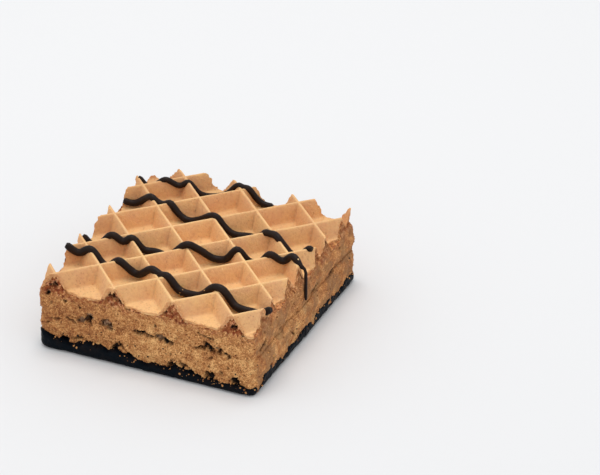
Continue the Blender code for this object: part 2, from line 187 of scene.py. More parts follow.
def finishLayer(mesh, marks, material, slotName, nodeName):
    for mark, values in marks.items():
        addValues(mesh, mark, values)
    mesh.materials.append(material)
    mesh.shade_smooth()
    return finishPiece(makeObject(mesh.name, mesh), slotName, nodeName)


def addValues(mesh, name, values):
    # one number for each vertex, for a material or for scattering
    mesh.attributes.new(name, "FLOAT", "POINT").data.foreach_set("value", np.asarray(values, np.float32))


def vertexPlaces(mesh):
    places = np.empty(len(mesh.vertices) * 3, np.float32)
    mesh.vertices.foreach_get("co", places)
    return places.reshape(-1, 3)


# the shape's rules, the same as the solids'

def localSum(x, y, places):
    return sum(amount * math.exp(-((x - px) ** 2 + (y - py) ** 2) / (2 * reach ** 2))
               for px, py, amount, reach in places)


def sideColumns(step):
    # x, y, outward x, outward y round the cut square, counter-clockwise from the left front corner
    columns = []
    r = square["corner"]
    hx, hy = square["halfX"] - r, square["halfY"] - r
    centres = ((-hx, -hy), (hx, -hy), (hx, hy), (-hx, hy))
    arcSteps = max(3, round(r * math.pi / 2 / step))
    for corner, (cx, cy) in enumerate(centres):
        for k in range(arcSteps + 1):
            angle = math.radians(180 + 90 * corner + 90 * k / arcSteps)
            nx, ny = math.cos(angle), math.sin(angle)
            columns.append((cx + nx * r, cy + ny * r, nx, ny))
        x0, y0, nx, ny = columns[-1]
        ex, ey = centres[(corner + 1) % 4]
        x1, y1 = ex + nx * r, ey + ny * r
        count = round(math.hypot(x1 - x0, y1 - y0) / step)
        for k in range(1, count):
            columns.append((x0 + (x1 - x0) * k / count, y0 + (y1 - y0) * k / count, nx, ny))
    return np.array(columns)


def ridgeDistance(x, y):
    # in plan, from the nearest ridge
    diagonal = pockets["pitch"] * math.sqrt(2.0)
    dx, dy = x - pockets["centreX"], y - pockets["centreY"]
    a, b = (dx + dy) / diagonal, (dx - dy) / diagonal
    return pockets["pitch"] * np.minimum(abs(a - np.round(a)), abs(b - np.round(b)))


def sheetTop(x, y):
    lean = (ridgeDistance(x, y) - pockets["crest"]) / pockets["wallRun"]
    return pockets["ridgeTop"] - pockets["depth"] * np.clip(lean, 0.0, 1.0)


def sheetUnder(x, y):
    slope = pockets["depth"] / pockets["wallRun"]
    ridge = pockets["ridgeTop"] + slope * pockets["crest"] - pockets["thickness"] * math.hypot(1.0, slope)
    floor = pockets["ridgeTop"] - pockets["depth"] - pockets["dish"] - pockets["thickness"]
    return np.maximum(ridge - slope * ridgeDistance(x, y), floor)


# materials: patches are soft noise, given as size in mm, detail, roughness, and the noise values where
# they begin and where they are full; layers are colours laid on one after another, each as strongly as
# the sum of its shares

def newMaterial(name, look=None, marks=()):
    mat = bpy.data.materials.new(name)
    mat.use_nodes = True
    add = partial(addNode, mat.node_tree)
    place = add("TexCoord", out="Object")
    shares = {mark: add("Attribute", out="Fac", attribute_name=mark) for mark in marks}
    for patch, (size, detail, roughness, low, high) in (look or {}).get("patches", {}).items():
        cloud = add("TexNoise", {"Vector": place, "Scale": 500 / size, "Detail": detail,
                                 "Roughness": roughness})
        shares[patch] = add("MapRange", (cloud, low, high))
    colours = {key: linearColour(code) for key, code in (look or {}).get("colours", {}).items()}
    return mat, add, place, shares, colours


def weighted(add, shares, weights, total=0.0):
    for name, weight in weights.items():
        total = add("Math", (shares[name], weight, total), operation="MULTIPLY_ADD")
    return total


def layered(add, shares, colours, first, layers):
    colour = colours[first]
    for name, weights in layers:
        share = weighted(add, shares, weights)
        colour = add("Mix", (share, colour, colours[name]), data_type="RGBA")
    return colour


def finishMaterial(mat, inputs, relief, reliefMm, strength):
    tree = mat.node_tree
    bump = addNode(tree, "Bump", {"Height": relief, "Distance": reliefMm * mm, "Strength": strength})
    fillInputs(tree, tree.nodes["Principled BSDF"], {**inputs, "Normal": bump})
    return mat


# Baked wafer: thin batter sheet baked between hot plates. Dry and matte, pinkish tan in the walls, with
# fine pores and a few toasted specks. Painted light: the ridge tops and pocket floors are painted lighter
# gold, the creases where walls meet painted darker as shade, and the sheet painted darker to the left and
# back.
waferLook = {
    "colours": {"tan": "#E3AD74", "gold": "#FBD393", "pink": "#DAA172", "toast": "#A4623A",
                "brown": "#B8642C", "speck": "#8A4526", "baked": "#A9683A"},
    "patches": {"mottle": (2.6, 4.0, 0.65, 0.38, 0.62), "fine": (0.3, 3.0, 0.75, 0.32, 0.68),
                "toasted": (0.55, 5.0, 0.75, 0.52, 0.72), "speckled": (3.5, 3.0, 0.55, 0.47, 0.62)},
    # the gold near the ridge tops is a painted highlight and near the pocket floors painted light; the toast
    # in the wall creases and the baked brown to the left and the back are painted shade
    "layers": (("tan", {"mottle": 1.0}), ("gold", {"fine": 0.34}), ("gold", {"nearFloor": 0.4}),
               ("toast", {"toasted": 0.34, "valley": 0.2}), ("gold", {"nearRidge": 0.36}),
               ("baked", {"toLeft": 0.22, "toBack": 0.2}), ("brown", {"cut": 0.4}),
               ("speck", {"specks": 0.42})),
    "speckMm": 0.75, "poreMm": 0.26, "reliefMm": 0.08, "roughness": (0.62, 0.8),
}


def bakedWafer():
    look = waferLook
    mat, add, place, shares, colours = newMaterial("baked wafer", look, ("valley", "cut"))
    x, y, z = add("SeparateXYZ", (place,)).node.outputs
    top = pockets["ridgeTop"]
    # where light and shade are painted on: lighter at the ridge tops and pocket floors, darker in shade to
    # the left and to the back
    for name, axis, start, full in (
            ("nearRidge", z, top - 0.3 * mm, top), ("nearFloor", z, top - 3.5 * mm, top - 4.0 * mm),
            ("toLeft", x, -10 * mm, -24 * mm), ("toBack", y, 4 * mm, 22 * mm)):
        shares[name] = add("MapRange", (axis, start, full))
    shares["pore"] = add("TexVoronoi", (place, 1000 / look["poreMm"]))
    speck = add("TexVoronoi", (place, 1000 / look["speckMm"]))
    shares["speck"] = add("MapRange", (speck, 0.3, 0.08))
    workOut(add, shares, "specks MULTIPLY speck speckled", "relief MULTIPLY_ADD pore 0.5 fine")
    return finishMaterial(mat, {
        "Base Color": layered(add, shares, colours, "pink", look["layers"]),
        "Roughness": add("MapRange", (shares["fine"], 0.0, 1.0, *look["roughness"])),
        "Specular IOR Level": 0.3, "Subsurface Weight": 0.1, "Subsurface Radius": (1.0, 0.5, 0.25),
        "Subsurface Scale": 0.6 * mm}, shares["relief"], look["reliefMm"], 0.8)


# Cocoa cream crumb: milled wafer bound with fat. Rough grains of 0.2 to 0.5 mm, golden brown, with
# darker cocoa grains; red-brown below the sheet's ridges, with pink glints painted on as highlights, in a
# seam's gaps greyer. Hollows, cracks and the top below the sheet are painted near black as shade; the tone
# is painted lighter to the right, and the smeared right side is partly painted darker as shade.
crumbLook = {
    "colours": {"light": "#FFC884", "mid": "#CC8B51", "dark": "#925530", "gap": "#6A3418",
                "hollowShade": "#140704", "red": "#963F1C", "pink": "#F2AA7A", "grey": "#3E2C22",
                "pale": "#A9876B", "pressed": "#946F49"},
    "patches": {"dust": (0.12, 2.0, 0.7, 0.3, 0.7), "clump": (1.1, 5.0, 0.7, 0.34, 0.66),
                "patch": (4.5, 3.0, 0.6, 0.36, 0.64), "pressed": (1.8, 4.0, 0.6, 0.44, 0.54),
                "glint": (0.42, 3.0, 0.6, 0.52, 0.6)},
    # the pressed colour on the smeared right side is partly real and partly painted shade of that side
    "layers": (("mid", {"mid": 1.0}), ("light", {"light": 1.0}), ("pressed", {"pressed": 0.55}),
               ("gap", {"gap": 0.25}), ("cooked", {"red": 0.85}), ("broken", {"grey": 0.85}),
               # painted shade: the near-black hollow colour in hollows, cracks and below the sheet
               ("hollowShade", {"hollowShade": 1.0})),
    # the tone, from -0.6 for dark to 0.6 for light: what makes each grain differ, then each area
    "grainTone": {"pick": 0.75, "dust": 0.45}, "grainStart": -0.6,
    # in the areas' tone, the rise to the right is painted light, and the darkening where the side is smeared
    # partly painted shade
    "areaTone": {"grains": 1.0, "clump": 0.62, "patch": 0.22, "toRight": 0.34, "smear": -0.2},
    "areaStart": -0.64,
    "calming": 0.4,           # how much a smeared side evens the grains out
    "grainMm": 0.24, "facetMm": 0.55, "reliefMm": 0.11,
}


def cocoaCrumb(name):
    look = crumbLook
    mat, add, place, shares, colours = newMaterial(name, look, ("hollowShade", "smear", "grey", "red"))
    distance, tint = add("TexVoronoi", (place, 1000 / look["grainMm"])).node.outputs[:2]
    edge = add("TexVoronoi", (place, 1000 / look["grainMm"]), feature="DISTANCE_TO_EDGE")
    facet = add("TexVoronoi", (place, 1000 / look["facetMm"]), "Color")
    shares["pick"] = add("SeparateColor", (tint,))
    # painted light: the tone rises towards the right
    shares["toRight"] = add("MapRange", (add("SeparateXYZ", (place,)), -25 * mm, 0.0))
    shares["grains"] = weighted(add, shares, look["grainTone"], look["grainStart"])
    shares["gap"] = add("MapRange", (edge, 0.08, 0.0))
    shares["bumps"] = add("MapRange", (distance, 0.0, 0.7, 1.0, 0.0))
    workOut(add, shares, f"calm MULTIPLY_ADD smear -{look['calming']} 1", "grains MULTIPLY grains calm",
            "gap MULTIPLY gap calm", "pressed MULTIPLY pressed smear", "relief MULTIPLY_ADD bumps calm dust")
    tone = weighted(add, shares, look["areaTone"], look["areaStart"])
    shares["mid"] = add("MapRange", (tone, -0.6, 0.0))
    shares["light"] = add("MapRange", (tone, 0.0, 0.6))
    shares["facet"] = add("MapRange", (add("SeparateColor", (facet,), "Green"), 0.1, 0.9))
    # pink glints on the red, painted highlights
    colours["cooked"] = layered(add, shares, colours, "red", (("pink", {"glint": 1.0}),))
    colours["broken"] = layered(add, shares, colours, "grey", (("pale", {"facet": 1.0}),))
    return finishMaterial(mat, {"Base Color": layered(add, shares, colours, "dark", look["layers"]),
                                "Roughness": 0.8, "Specular IOR Level": 0.28},
                          shares["relief"], look["reliefMm"], 1.0)


# Dark chocolate: cocoa mass set against a cool plate and piped on top. Nearly black with a satin
# sheen, faintly uneven, a cool grey where it mirrors the surroundings; the blue cast of its near-black colour
# is painted reflection.
chocolateLook = {
    # the near-black colour carries a blue cast, painted reflection of the cool surroundings
    "colours": {"cool": "#020911", "warm": "#281A12"},
    "patches": {"lump": (1.1, 3.0, 0.6, 0.0, 1.0), "fine": (0.22, 3.0, 0.6, 0.0, 1.0)},
    "reliefMm": 0.12,
}


def darkChocolate(name, roughness, warmth, shine):
    # warmth: share of the warmer brown; shine: strength of the sheen
    mat, add, _, shares, colours = newMaterial(name, chocolateLook)
    lump, fine = shares["lump"], shares["fine"]
    shares["warm"] = add("MapRange", (lump, 0.3, 0.7, warmth - 0.25, warmth + 0.25))
    relief = add("Math", (fine, 0.3, lump), operation="MULTIPLY_ADD")
    return finishMaterial(mat, {
        "Base Color": layered(add, shares, colours, "cool", (("warm", {"warm": 1.0}),)),
        "Roughness": add("MapRange", (fine, 0.3, 0.7, roughness - 0.06, roughness + 0.1)),
        "Specular IOR Level": shine, "IOR": 1.35}, relief, chocolateLook["reliefMm"], 0.6)


# Loose crumbs: chips of baked wafer, filling or chocolate, each in a tone of its own
def looseCrumb(name, dark, light, roughness=0.8):
    look = {"colours": {"dark": dark, "light": light}, "patches": {"chips": (0.12, 3.0, 0.55, 0.0, 1.0)}}
    mat, add, _, shares, colours = newMaterial(name, look, ("tone",))
    colour = layered(add, shares, colours, "dark", (("light", {"tone": 1.0}),))
    return finishMaterial(mat, {"Base Color": colour, "Roughness": roughness, "Specular IOR Level": 0.25},
                          shares["chips"], 0.05, 0.7)


waferMaterial = bakedWafer()
upperCrumb = cocoaCrumb("cocoa cream crumb, upper")
lowerCrumb = cocoaCrumb("cocoa cream crumb, lower")
plateChocolate = darkChocolate("dark chocolate, coated", 0.46, 0.02, 0.12)
pipedChocolate = darkChocolate("dark chocolate, piped", 0.42, 0.75, 0.22)
waferCrumb = looseCrumb("loose wafer crumb", "#B9773F", "#FFD79B")
creamCrumb = looseCrumb("loose cocoa cream crumb", "#6E3B1E", "#E2A667")
chocolateCrumb = looseCrumb("loose chocolate crumb", "#0A0A0B", "#2A1C15", 0.45)
print("materials made")


# the wafer sheet: a rule-made lattice, cut along a broken outline

sheetValues = {
    "Cells": 10, "Cuts": 26, "Pitch": pockets["pitch"], "Depth": pockets["depth"], "Dish": pockets["dish"],
    "Crest": pockets["crest"], "Wall Run": pockets["wallRun"], "Ridge Top": pockets["ridgeTop"],
    "Thickness": pockets["thickness"], "Wave": 0.22 * mm, "Wave Size": 7.0 * mm, "Chatter": 0.1 * mm,
    "Chatter Size": 1.1 * mm, "Centre X": pockets["centreX"], "Centre Y": pockets["centreY"],
    "Reach": 29.0 * mm,
}
# where the cut lines of half a cell lie, crowded at the ridge and at the wall's foot
cutPlaces = (0.0, 0.018, 0.036, 0.072, 0.14, 0.22, 0.3, 0.355, 0.4, 0.45, 0.56, 0.7, 0.85, 1.0)
cutCurve = [(k / 13, place) for k, place in enumerate(cutPlaces)]
# the wall's outline from the ridge to the floor, softly rounded at both ends
wallShape = ((0.0, 0.0), (0.1, 0.06), (0.5, 0.5), (0.9, 0.955), (1.0, 1.0))


def curved(add, value, points, handle="AUTO"):
    # a value read off a curve through these points
    result = add("FloatCurve", {"Value": value})
    line = result.node.mapping.curves[0]
    line.points[0].location, line.points[1].location = points[0], points[-1]
    for point in points[1:-1]:
        line.points.new(*point)
    for point in line.points:
        point.handle_type = handle
    result.node.mapping.update()
    return result


def latticeTree():
    sizes = {key: "Int" if key in ("Cells", "Cuts") else "Float" for key in sheetValues}
    tree, add, known = newGeometryTree("pressed wafer lattice", sizes)
    workOut(add, known, "span MULTIPLY Cells Pitch", "count MULTIPLY_ADD Cells Cuts 1")
    flat = add("MeshGrid", (known["span"], known["span"], known["count"], known["count"]))
    position = add("InputPosition")
    known["U"], known["V"], known["W"] = add("SeparateXYZ", (position,)).node.outputs
    # drop what lies well outside the square
    known["turn"] = math.sqrt(0.5)
    workOut(add, known, "across SUBTRACT U V", "across MULTIPLY_ADD across turn CentreX",
            "across ABSOLUTE across", "along ADD U V", "along MULTIPLY_ADD along turn CentreY",
            "along ABSOLUTE along", "far MAXIMUM across along", "far GREATER_THAN far Reach")
    flat = add("DeleteGeometry", {"Geometry": flat, "Selection": known["far"]}, domain="FACE")
    raised = add("ExtrudeMesh", {"Mesh": flat, "Offset": (0, 0, 1), "Offset Scale": mm,
                                 "Individual": False})
    both = add("JoinGeometry", (raised,))
    tree.links.new(add("FlipFaces", {"Mesh": flat}), both.node.inputs[0])
    plate = add("MergeByDistance", {"Geometry": both, "Distance": 0.001 * mm})
    for axis in "UV":
        # moves a cut line to its place; away is its distance from the ridge, in half cells
        workOut(add, known, f"cell DIVIDE {axis} Pitch", "ridge ROUND cell", "off SUBTRACT cell ridge",
                "apart ABSOLUTE off", "apart MULTIPLY apart 2")
        known["away" + axis] = curved(add, known["apart"], cutCurve, "VECTOR")
        workOut(add, known, f"half MULTIPLY away{axis} 0.5", "side SIGN off",
                "moved MULTIPLY_ADD side half ridge", f"new{axis} MULTIPLY moved Pitch")
    workOut(add, known, "halfPitch MULTIPLY Pitch 0.5", "near MINIMUM awayU awayV",
            "near MULTIPLY near halfPitch", "pastCrest SUBTRACT near Crest", "lean DIVIDE pastCrest WallRun",
            "wall MAXIMUM lean 0", "wall MINIMUM wall 1")
    known["fall"] = curved(add, known["wall"], wallShape)
    # the top side: crest, wall and dished floor
    workOut(add, known, "beyond SUBTRACT pastCrest WallRun", "floor SUBTRACT halfPitch Crest",
            "floor SUBTRACT floor WallRun", "sag DIVIDE beyond floor", "sag MAXIMUM sag 0",
            "sag MULTIPLY sag Dish", "drop MULTIPLY Depth fall", "top SUBTRACT RidgeTop drop",
            "top SUBTRACT top sag")
    # the underside, a sheet's thickness off the walls
    workOut(add, known, "slope DIVIDE Depth WallRun", "slant MULTIPLY_ADD slope slope 1", "slant SQRT slant",
            "under MULTIPLY_ADD slope Crest RidgeTop", "drop MULTIPLY Thickness slant",
            "under SUBTRACT under drop", "drop MULTIPLY slope near", "under SUBTRACT under drop",
            "lowest SUBTRACT RidgeTop Depth", "drop ADD Dish Thickness", "lowest SUBTRACT lowest drop",
            "under MAXIMUM under lowest", "isTop GREATER_THAN W 0")
    # the creases where two walls meet, painted darker in the material as shade
    workOut(add, known, "apart SUBTRACT awayU awayV", "apart ABSOLUTE apart", "crease MULTIPLY apart 9",
            "crease MINIMUM crease 1", "crease SUBTRACT 1 crease", "onWall GREATER_THAN lean 0.05",
            "crease MULTIPLY crease onWall", "onWall LESS_THAN lean 1.05", "crease MULTIPLY crease onWall")
    plate = add("StoreNamedAttribute", {
        "Geometry": plate, "Name": "valley", "Value": known["crease"]}, data_type="FLOAT", domain="POINT")
    height = add("Switch", (known["isTop"], known["under"], known["top"]), input_type="FLOAT")
    moved = add("CombineXYZ", (known["newU"], known["newV"], height))
    shaped = add("SetPosition", {"Geometry": plate, "Position": moved})
    # a baked sheet is never quite true
    wobble = position
    for kind in ("Wave", "Chatter"):
        workOut(add, known, f"scale DIVIDE 1 {kind}Size")
        push = noisePush(add, known["scale"], known[kind], 2.0)
        wobble = add("VectorMath", (wobble, push), operation="ADD")
    baked = add("SetPosition", {"Geometry": shaped, "Position": wobble})
    centre = add("CombineXYZ", (known["CentreX"], known["CentreY"]))
    turned = add("Transform", {"Geometry": baked, "Translation": centre,
                               "Rotation": (0, 0, math.radians(45))})
    return finishTree(tree, turned, waferMaterial)


# the sheet's edge: how it breaks, and where more has come off or, if negative, stands out
# (x, y, depth, reach)
edgeValues = lengths(setFront=0.0, setRight=0.8, setBack=-0.2, setLeft=0.1, broad=0.55, flake=0.36,
                     flakeSize=0.9, fine=0.2, fineSize=0.34, step=0.16)
edgeChips = placesInMm(
    (-25.5, -24.4, -0.5, 2.2), (-25.5, -21.6, 0.3, 0.9), (-8.8, 26.2, -1.5, 3),
    (-21, 26.2, -0.7, 1.6), (25.4, -12.2, 0.5, 1.6), (25.4, 15, 0.8, 1.4))


def quadFaces(rows, columns):
    # faces of a closed band: rows upwards, columns counter-clockwise
    k = np.arange(columns)
    following = (k + 1) % columns
    base = np.arange(rows - 1)[:, None] * columns
    corners = (base + k, base + following, base + columns + following, base + columns + k)
    return np.stack(corners, -1).reshape(-1, 4)


def closedShell(name, grid, middleLow, middleHigh):
    # grid: rows of points from low to high, closed by a fan at either end
    rows, columns, _ = grid.shape
    points = np.vstack((grid.reshape(-1, 3), [middleLow, middleHigh]))
    quads = quadFaces(rows, columns).tolist()
    low, high = rows * columns, rows * columns + 1
    lastRow = (rows - 1) * columns
    fans = [(low, (k + 1) % columns, k) for k in range(columns)]
    fans += [(high, lastRow + k, lastRow + (k + 1) % columns) for k in range(columns)]
    mesh = bpy.data.meshes.new(name)
    mesh.from_pydata(points.tolist(), [], quads + fans)
    mesh.update()
    return mesh


def brokenOutline():
    values = edgeValues
    columns = sideColumns(values["step"])
    heights = np.linspace(11.0 * mm, 20.5 * mm, 12)
    grid = np.zeros((len(heights), len(columns), 3))
    for k, (x, y, nx, ny) in enumerate(columns):
        broad = uneven(x, y, 0.0, 3.2 * mm, 11) - 0.25 + 0.4 * uneven(x, y, 0.0, 1.3 * mm, 12)
        inset = nx * nx * (values["setRight"] if nx > 0 else values["setLeft"])
        inset += ny * ny * (values["setBack"] if ny > 0 else values["setFront"])
        base = values["broad"] * broad - inset - localSum(x, y, edgeChips)
        for j, z in enumerate(heights):
            out = base + values["flake"] * uneven(x, y, z, values["flakeSize"], 71)
            out += values["fine"] * uneven(x, y, z, values["fineSize"], 72)
            grid[j, k] = (x + nx * out, y + ny * out, z)
    return closedShell("outline", grid, (0, 0, heights[0]), (0, 0, heights[-1]))


def markEdge(mesh, outlineMesh):
    # where the sheet is broken, for its crumbs and its colour
    tree = kdtree.KDTree(len(outlineMesh.vertices))
    for k, vertex in enumerate(outlineMesh.vertices):
        tree.insert(vertex.co, k)
    tree.balance()
    marks, cuts = np.full(len(mesh.vertices), 0.01), np.zeros(len(mesh.vertices))
    for k, (x, y, z) in enumerate(vertexPlaces(mesh)):
        if max(abs(x) - square["halfX"], abs(y) - square["halfY"]) > -2.8 * mm:
            marks[k] += 1.0 if tree.find((x, y, z))[2] < 0.45 * mm else 0.0
            cuts[k] = 1.0 if tree.find((x, y, z))[2] < 0.12 * mm else 0.0
    addValues(mesh, "crumbs", marks)
    addValues(mesh, "cut", cuts)


def makeSheet():
    sheet = bakeTree(makeObject("waferSheet", bpy.data.meshes.new("start")), latticeTree(), sheetValues)
    outline = makeObject("outline", brokenOutline())
    cut = sheet.modifiers.new("cut", "BOOLEAN")
    cut.operation = "INTERSECT"
    cut.solver = "MANIFOLD"
    cut.object = outline
    mesh = evaluatedMesh(sheet, "waferSheet")
    sheet.modifiers.remove(cut)
    markEdge(mesh, outline.data)
    bpy.data.objects.remove(outline)
    sheet.data = mesh
    mesh.materials.clear()
    mesh.materials.append(waferMaterial)
    mesh.shade_smooth()
    mesh.set_sharp_from_angle(angle=math.radians(40))
    return finishPiece(sheet, "wafer_biscuit", "wafer_sheet")


waferSheet = makeSheet()


# the piped chocolate lines, which follow paths over the sheet

# each line from the left edge to the right: its radius, how softly it follows the relief, its height over
# that, and the x, y of the places where it crosses a ridge or bends, all in mm
pipedLines = (
    {"radius": 0.86, "softness": 0.95, "lift": 1, "points": (
        (-25.6, -14.8), (-20.5, -13.8), (-12.5, -15.4), (-8.5, -15), (-4, -16.2), (0, -17),
        (5, -17.5), (11, -17.4), (15.5, -17.8), (19, -18.6), (25.6, -18.4))},
    {"radius": 0.8, "softness": 0.5, "lift": 1, "points": (
        (-25, -8), (-18, -7), (-13.5, -5.8), (-9, -4.5), (-5, -5.2), (-1.5, -4.4),
        (4, -2), (10, -0.9), (13, 0), (17.2, -0.2), (20.6, 0.8), (22.8, 0.2), (24.7, -0.9))},
    {"radius": 0.78, "softness": 1.3, "lift": 0.6, "points": (
        (-25.2, 12.2), (-21, 13.3), (-17.5, 12.1), (-14.5, 12), (-9, 11.5), (-6, 11.8),
        (-2, 10.4), (3.5, 10), (7.5, 10.6), (11.3, 8.9), (13.9, 8.3), (17, 6.8), (24.2, 6.2))},
    {"radius": 0.68, "softness": 1, "lift": 0.5, "points": (
        (-25, 19.5), (-20.5, 20.1), (-16, 21.6), (-10, 23.2), (-5, 25.2), (0, 25),
        (6, 25))},
)
dripLine = 1                   # the line that runs on down the right side
lineValues = lengths(step=0.45, clearance=0.3, settle=0.6, dripOut=0.3, dripEnd=9.9, dripRadius=0.36,
                     dripTaper=2.2, swellSize=6.0)
lineSwell = 0.12               # how unevenly thick the lines are
pipeValues = {"Sides": 16, "Lump": 0.16 * mm, "Lump Size": 1.6 * mm}
# where crumbs stick to the lines (x, y, amount, reach)
lineCrumbs = placesInMm((4.2, -17.6, 0.8, 0.45), (23.6, -0.3, 0.45, 0.3))


def smoothRoute(points, step):
    control = np.array(points) * mm
    padded = np.vstack((2 * control[0] - control[1], control, 2 * control[-1] - control[-2]))
    fine = []
    for p0, p1, p2, p3 in zip(padded, padded[1:], padded[2:], padded[3:]):
        for t in np.linspace(0.0, 1.0, 24, endpoint=False):
            fine.append(0.5 * (2 * p1 + (p2 - p0) * t + (2 * p0 - 5 * p1 + 4 * p2 - p3) * t ** 2
                               + (3 * p1 - p0 - 3 * p2 + p3) * t ** 3))
    fine = np.array(fine + [control[-1]])
    lengths = np.concatenate(([0.0], np.cumsum(np.linalg.norm(np.diff(fine[:, :2], axis=0), axis=1))))
    wanted = np.linspace(0.0, lengths[-1], round(lengths[-1] / step) + 1)
    return np.column_stack([np.interp(wanted, lengths, column) for column in fine.T])


def softened(heights, softness):
    # evened out along the line
    step = lineValues["step"]
    reach = math.ceil(3 * softness / step)
    weights = np.exp(-0.5 * (np.arange(-reach, reach + 1) * step / softness) ** 2)
    return np.convolve(np.pad(heights, reach, mode="edge"), weights / weights.sum(), mode="valid")


def drapedRoute(points, softness, lift):
    # laid on the relief, hanging a little between its ridges
    relief = sheetTop(points[:, 0], points[:, 1])
    heights = np.maximum(softened(relief, softness) + lift, relief + lineValues["clearance"])
    heights = softened(heights, lineValues["settle"])
    return [Vector((x, y, z)) for (x, y), z in zip(points, heights)]


def dripRoute(start, values):
    # on over the edge and down the right side
    outX = square["halfX"] + values["dripOut"]
    keys = [start, Vector((outX - 0.3 * mm, start.y, start.z - 0.5 * mm)),
            Vector((outX, start.y, start.z - 1.5 * mm)), Vector((outX, start.y, values["dripEnd"]))]
    route = []
    for a, b in zip(keys, keys[1:]):
        count = max(1, round((b - a).length / values["step"]))
        route += [a.lerp(b, (k + 1) / count) for k in range(count)]
    return route


def pipeTree():
    tree, add, known = newGeometryTree("piped line", {"Sides": "Int", "Lump": "Float", "Lump Size": "Float"})
    ring = add("CurvePrimitiveCircle", {"Resolution": known["Sides"], "Radius": 1.0})
    tube = add("CurveToMesh", {"Curve": known["Geometry"], "Profile Curve": ring, "Fill Caps": True})
    if "Scale" in tube.node.inputs:
        tree.links.new(add("InputRadius"), tube.node.inputs["Scale"])
    merged = add("MergeByDistance", {"Geometry": tube, "Distance": 0.002 * mm})
    workOut(add, known, "scale DIVIDE 1 LumpSize")
    known["cloud"] = add("TexNoise", {"Vector": add("InputPosition"),
                                      "Scale": known["scale"], "Detail": 1.0})
    workOut(add, known, "amount SUBTRACT cloud 0.5", "amount MULTIPLY amount Lump")
    push = add("VectorMath", {0: add("InputNormal"), "Scale": known["amount"]}, operation="SCALE")
    lumpy = add("SetPosition", {"Geometry": merged, "Offset": push})
    return finishTree(tree, lumpy, pipedChocolate)


def makeLines():
    values = lineValues
    curve = bpy.data.curves.new("chocolateLines", "CURVE")
    curve.dimensions = "3D"
    for number, line in enumerate(pipedLines):
        radius = line["radius"] * mm
        route = smoothRoute(line["points"], values["step"])
        route = drapedRoute(route, line["softness"] * mm, line["lift"] * mm)
        if number == dripLine:
            route += dripRoute(route[-1], values)
        last = len(route) - 1
        spline = curve.splines.new("POLY")
        spline.points.add(last)
        for k, point in enumerate(route):
            fromEnd = min(k, last - k) * values["step"] / radius
            tip = math.sqrt(1 - (1 - min(fromEnd + 0.25, 1.0)) ** 2)
            swell = 1.0 + lineSwell * uneven(point.x, point.y, 0.0, values["swellSize"], 21 + number)
            if number == dripLine:
                share = min(max(1 - (square["halfX"] - point.x) / values["dripTaper"], 0.0), 1.0)
                swell += (values["dripRadius"] / radius - swell) * share
            spline.points[k].co = (*point, 1.0)
            spline.points[k].radius = radius * swell * tip
    lines = bakeTree(makeObject("chocolateLines", curve), pipeTree(), pipeValues)
    sticky = [0.003 + localSum(x, y, lineCrumbs) / mm for x, y, _ in vertexPlaces(lines.data)]
    addValues(lines.data, "crumbs", sticky)
    lines.data.shade_smooth()
    return finishPiece(lines, "dark_chocolate")


chocolateLines = makeLines()


# the filling layers: cut, crumbly sides

sideValues = lengths(
    step=0.165, bulge=0.3, cragBroad=0.3, cragFine=0.28, seamGroove=0.22, clump=0.42, clumpSize=1.4,
    grain=0.32, grainSize=0.72, underRidge=0.6, rightStep=0.3, streakTall=0.22, streakFine=0.13,
)
leftLobe = 1.2                 # how much more the layers swell on the left
cornerSwells = placesInMm((-25.5, -25.5, 0.55, 3.0))
front, right, back, left = 0, 1, 2, 3

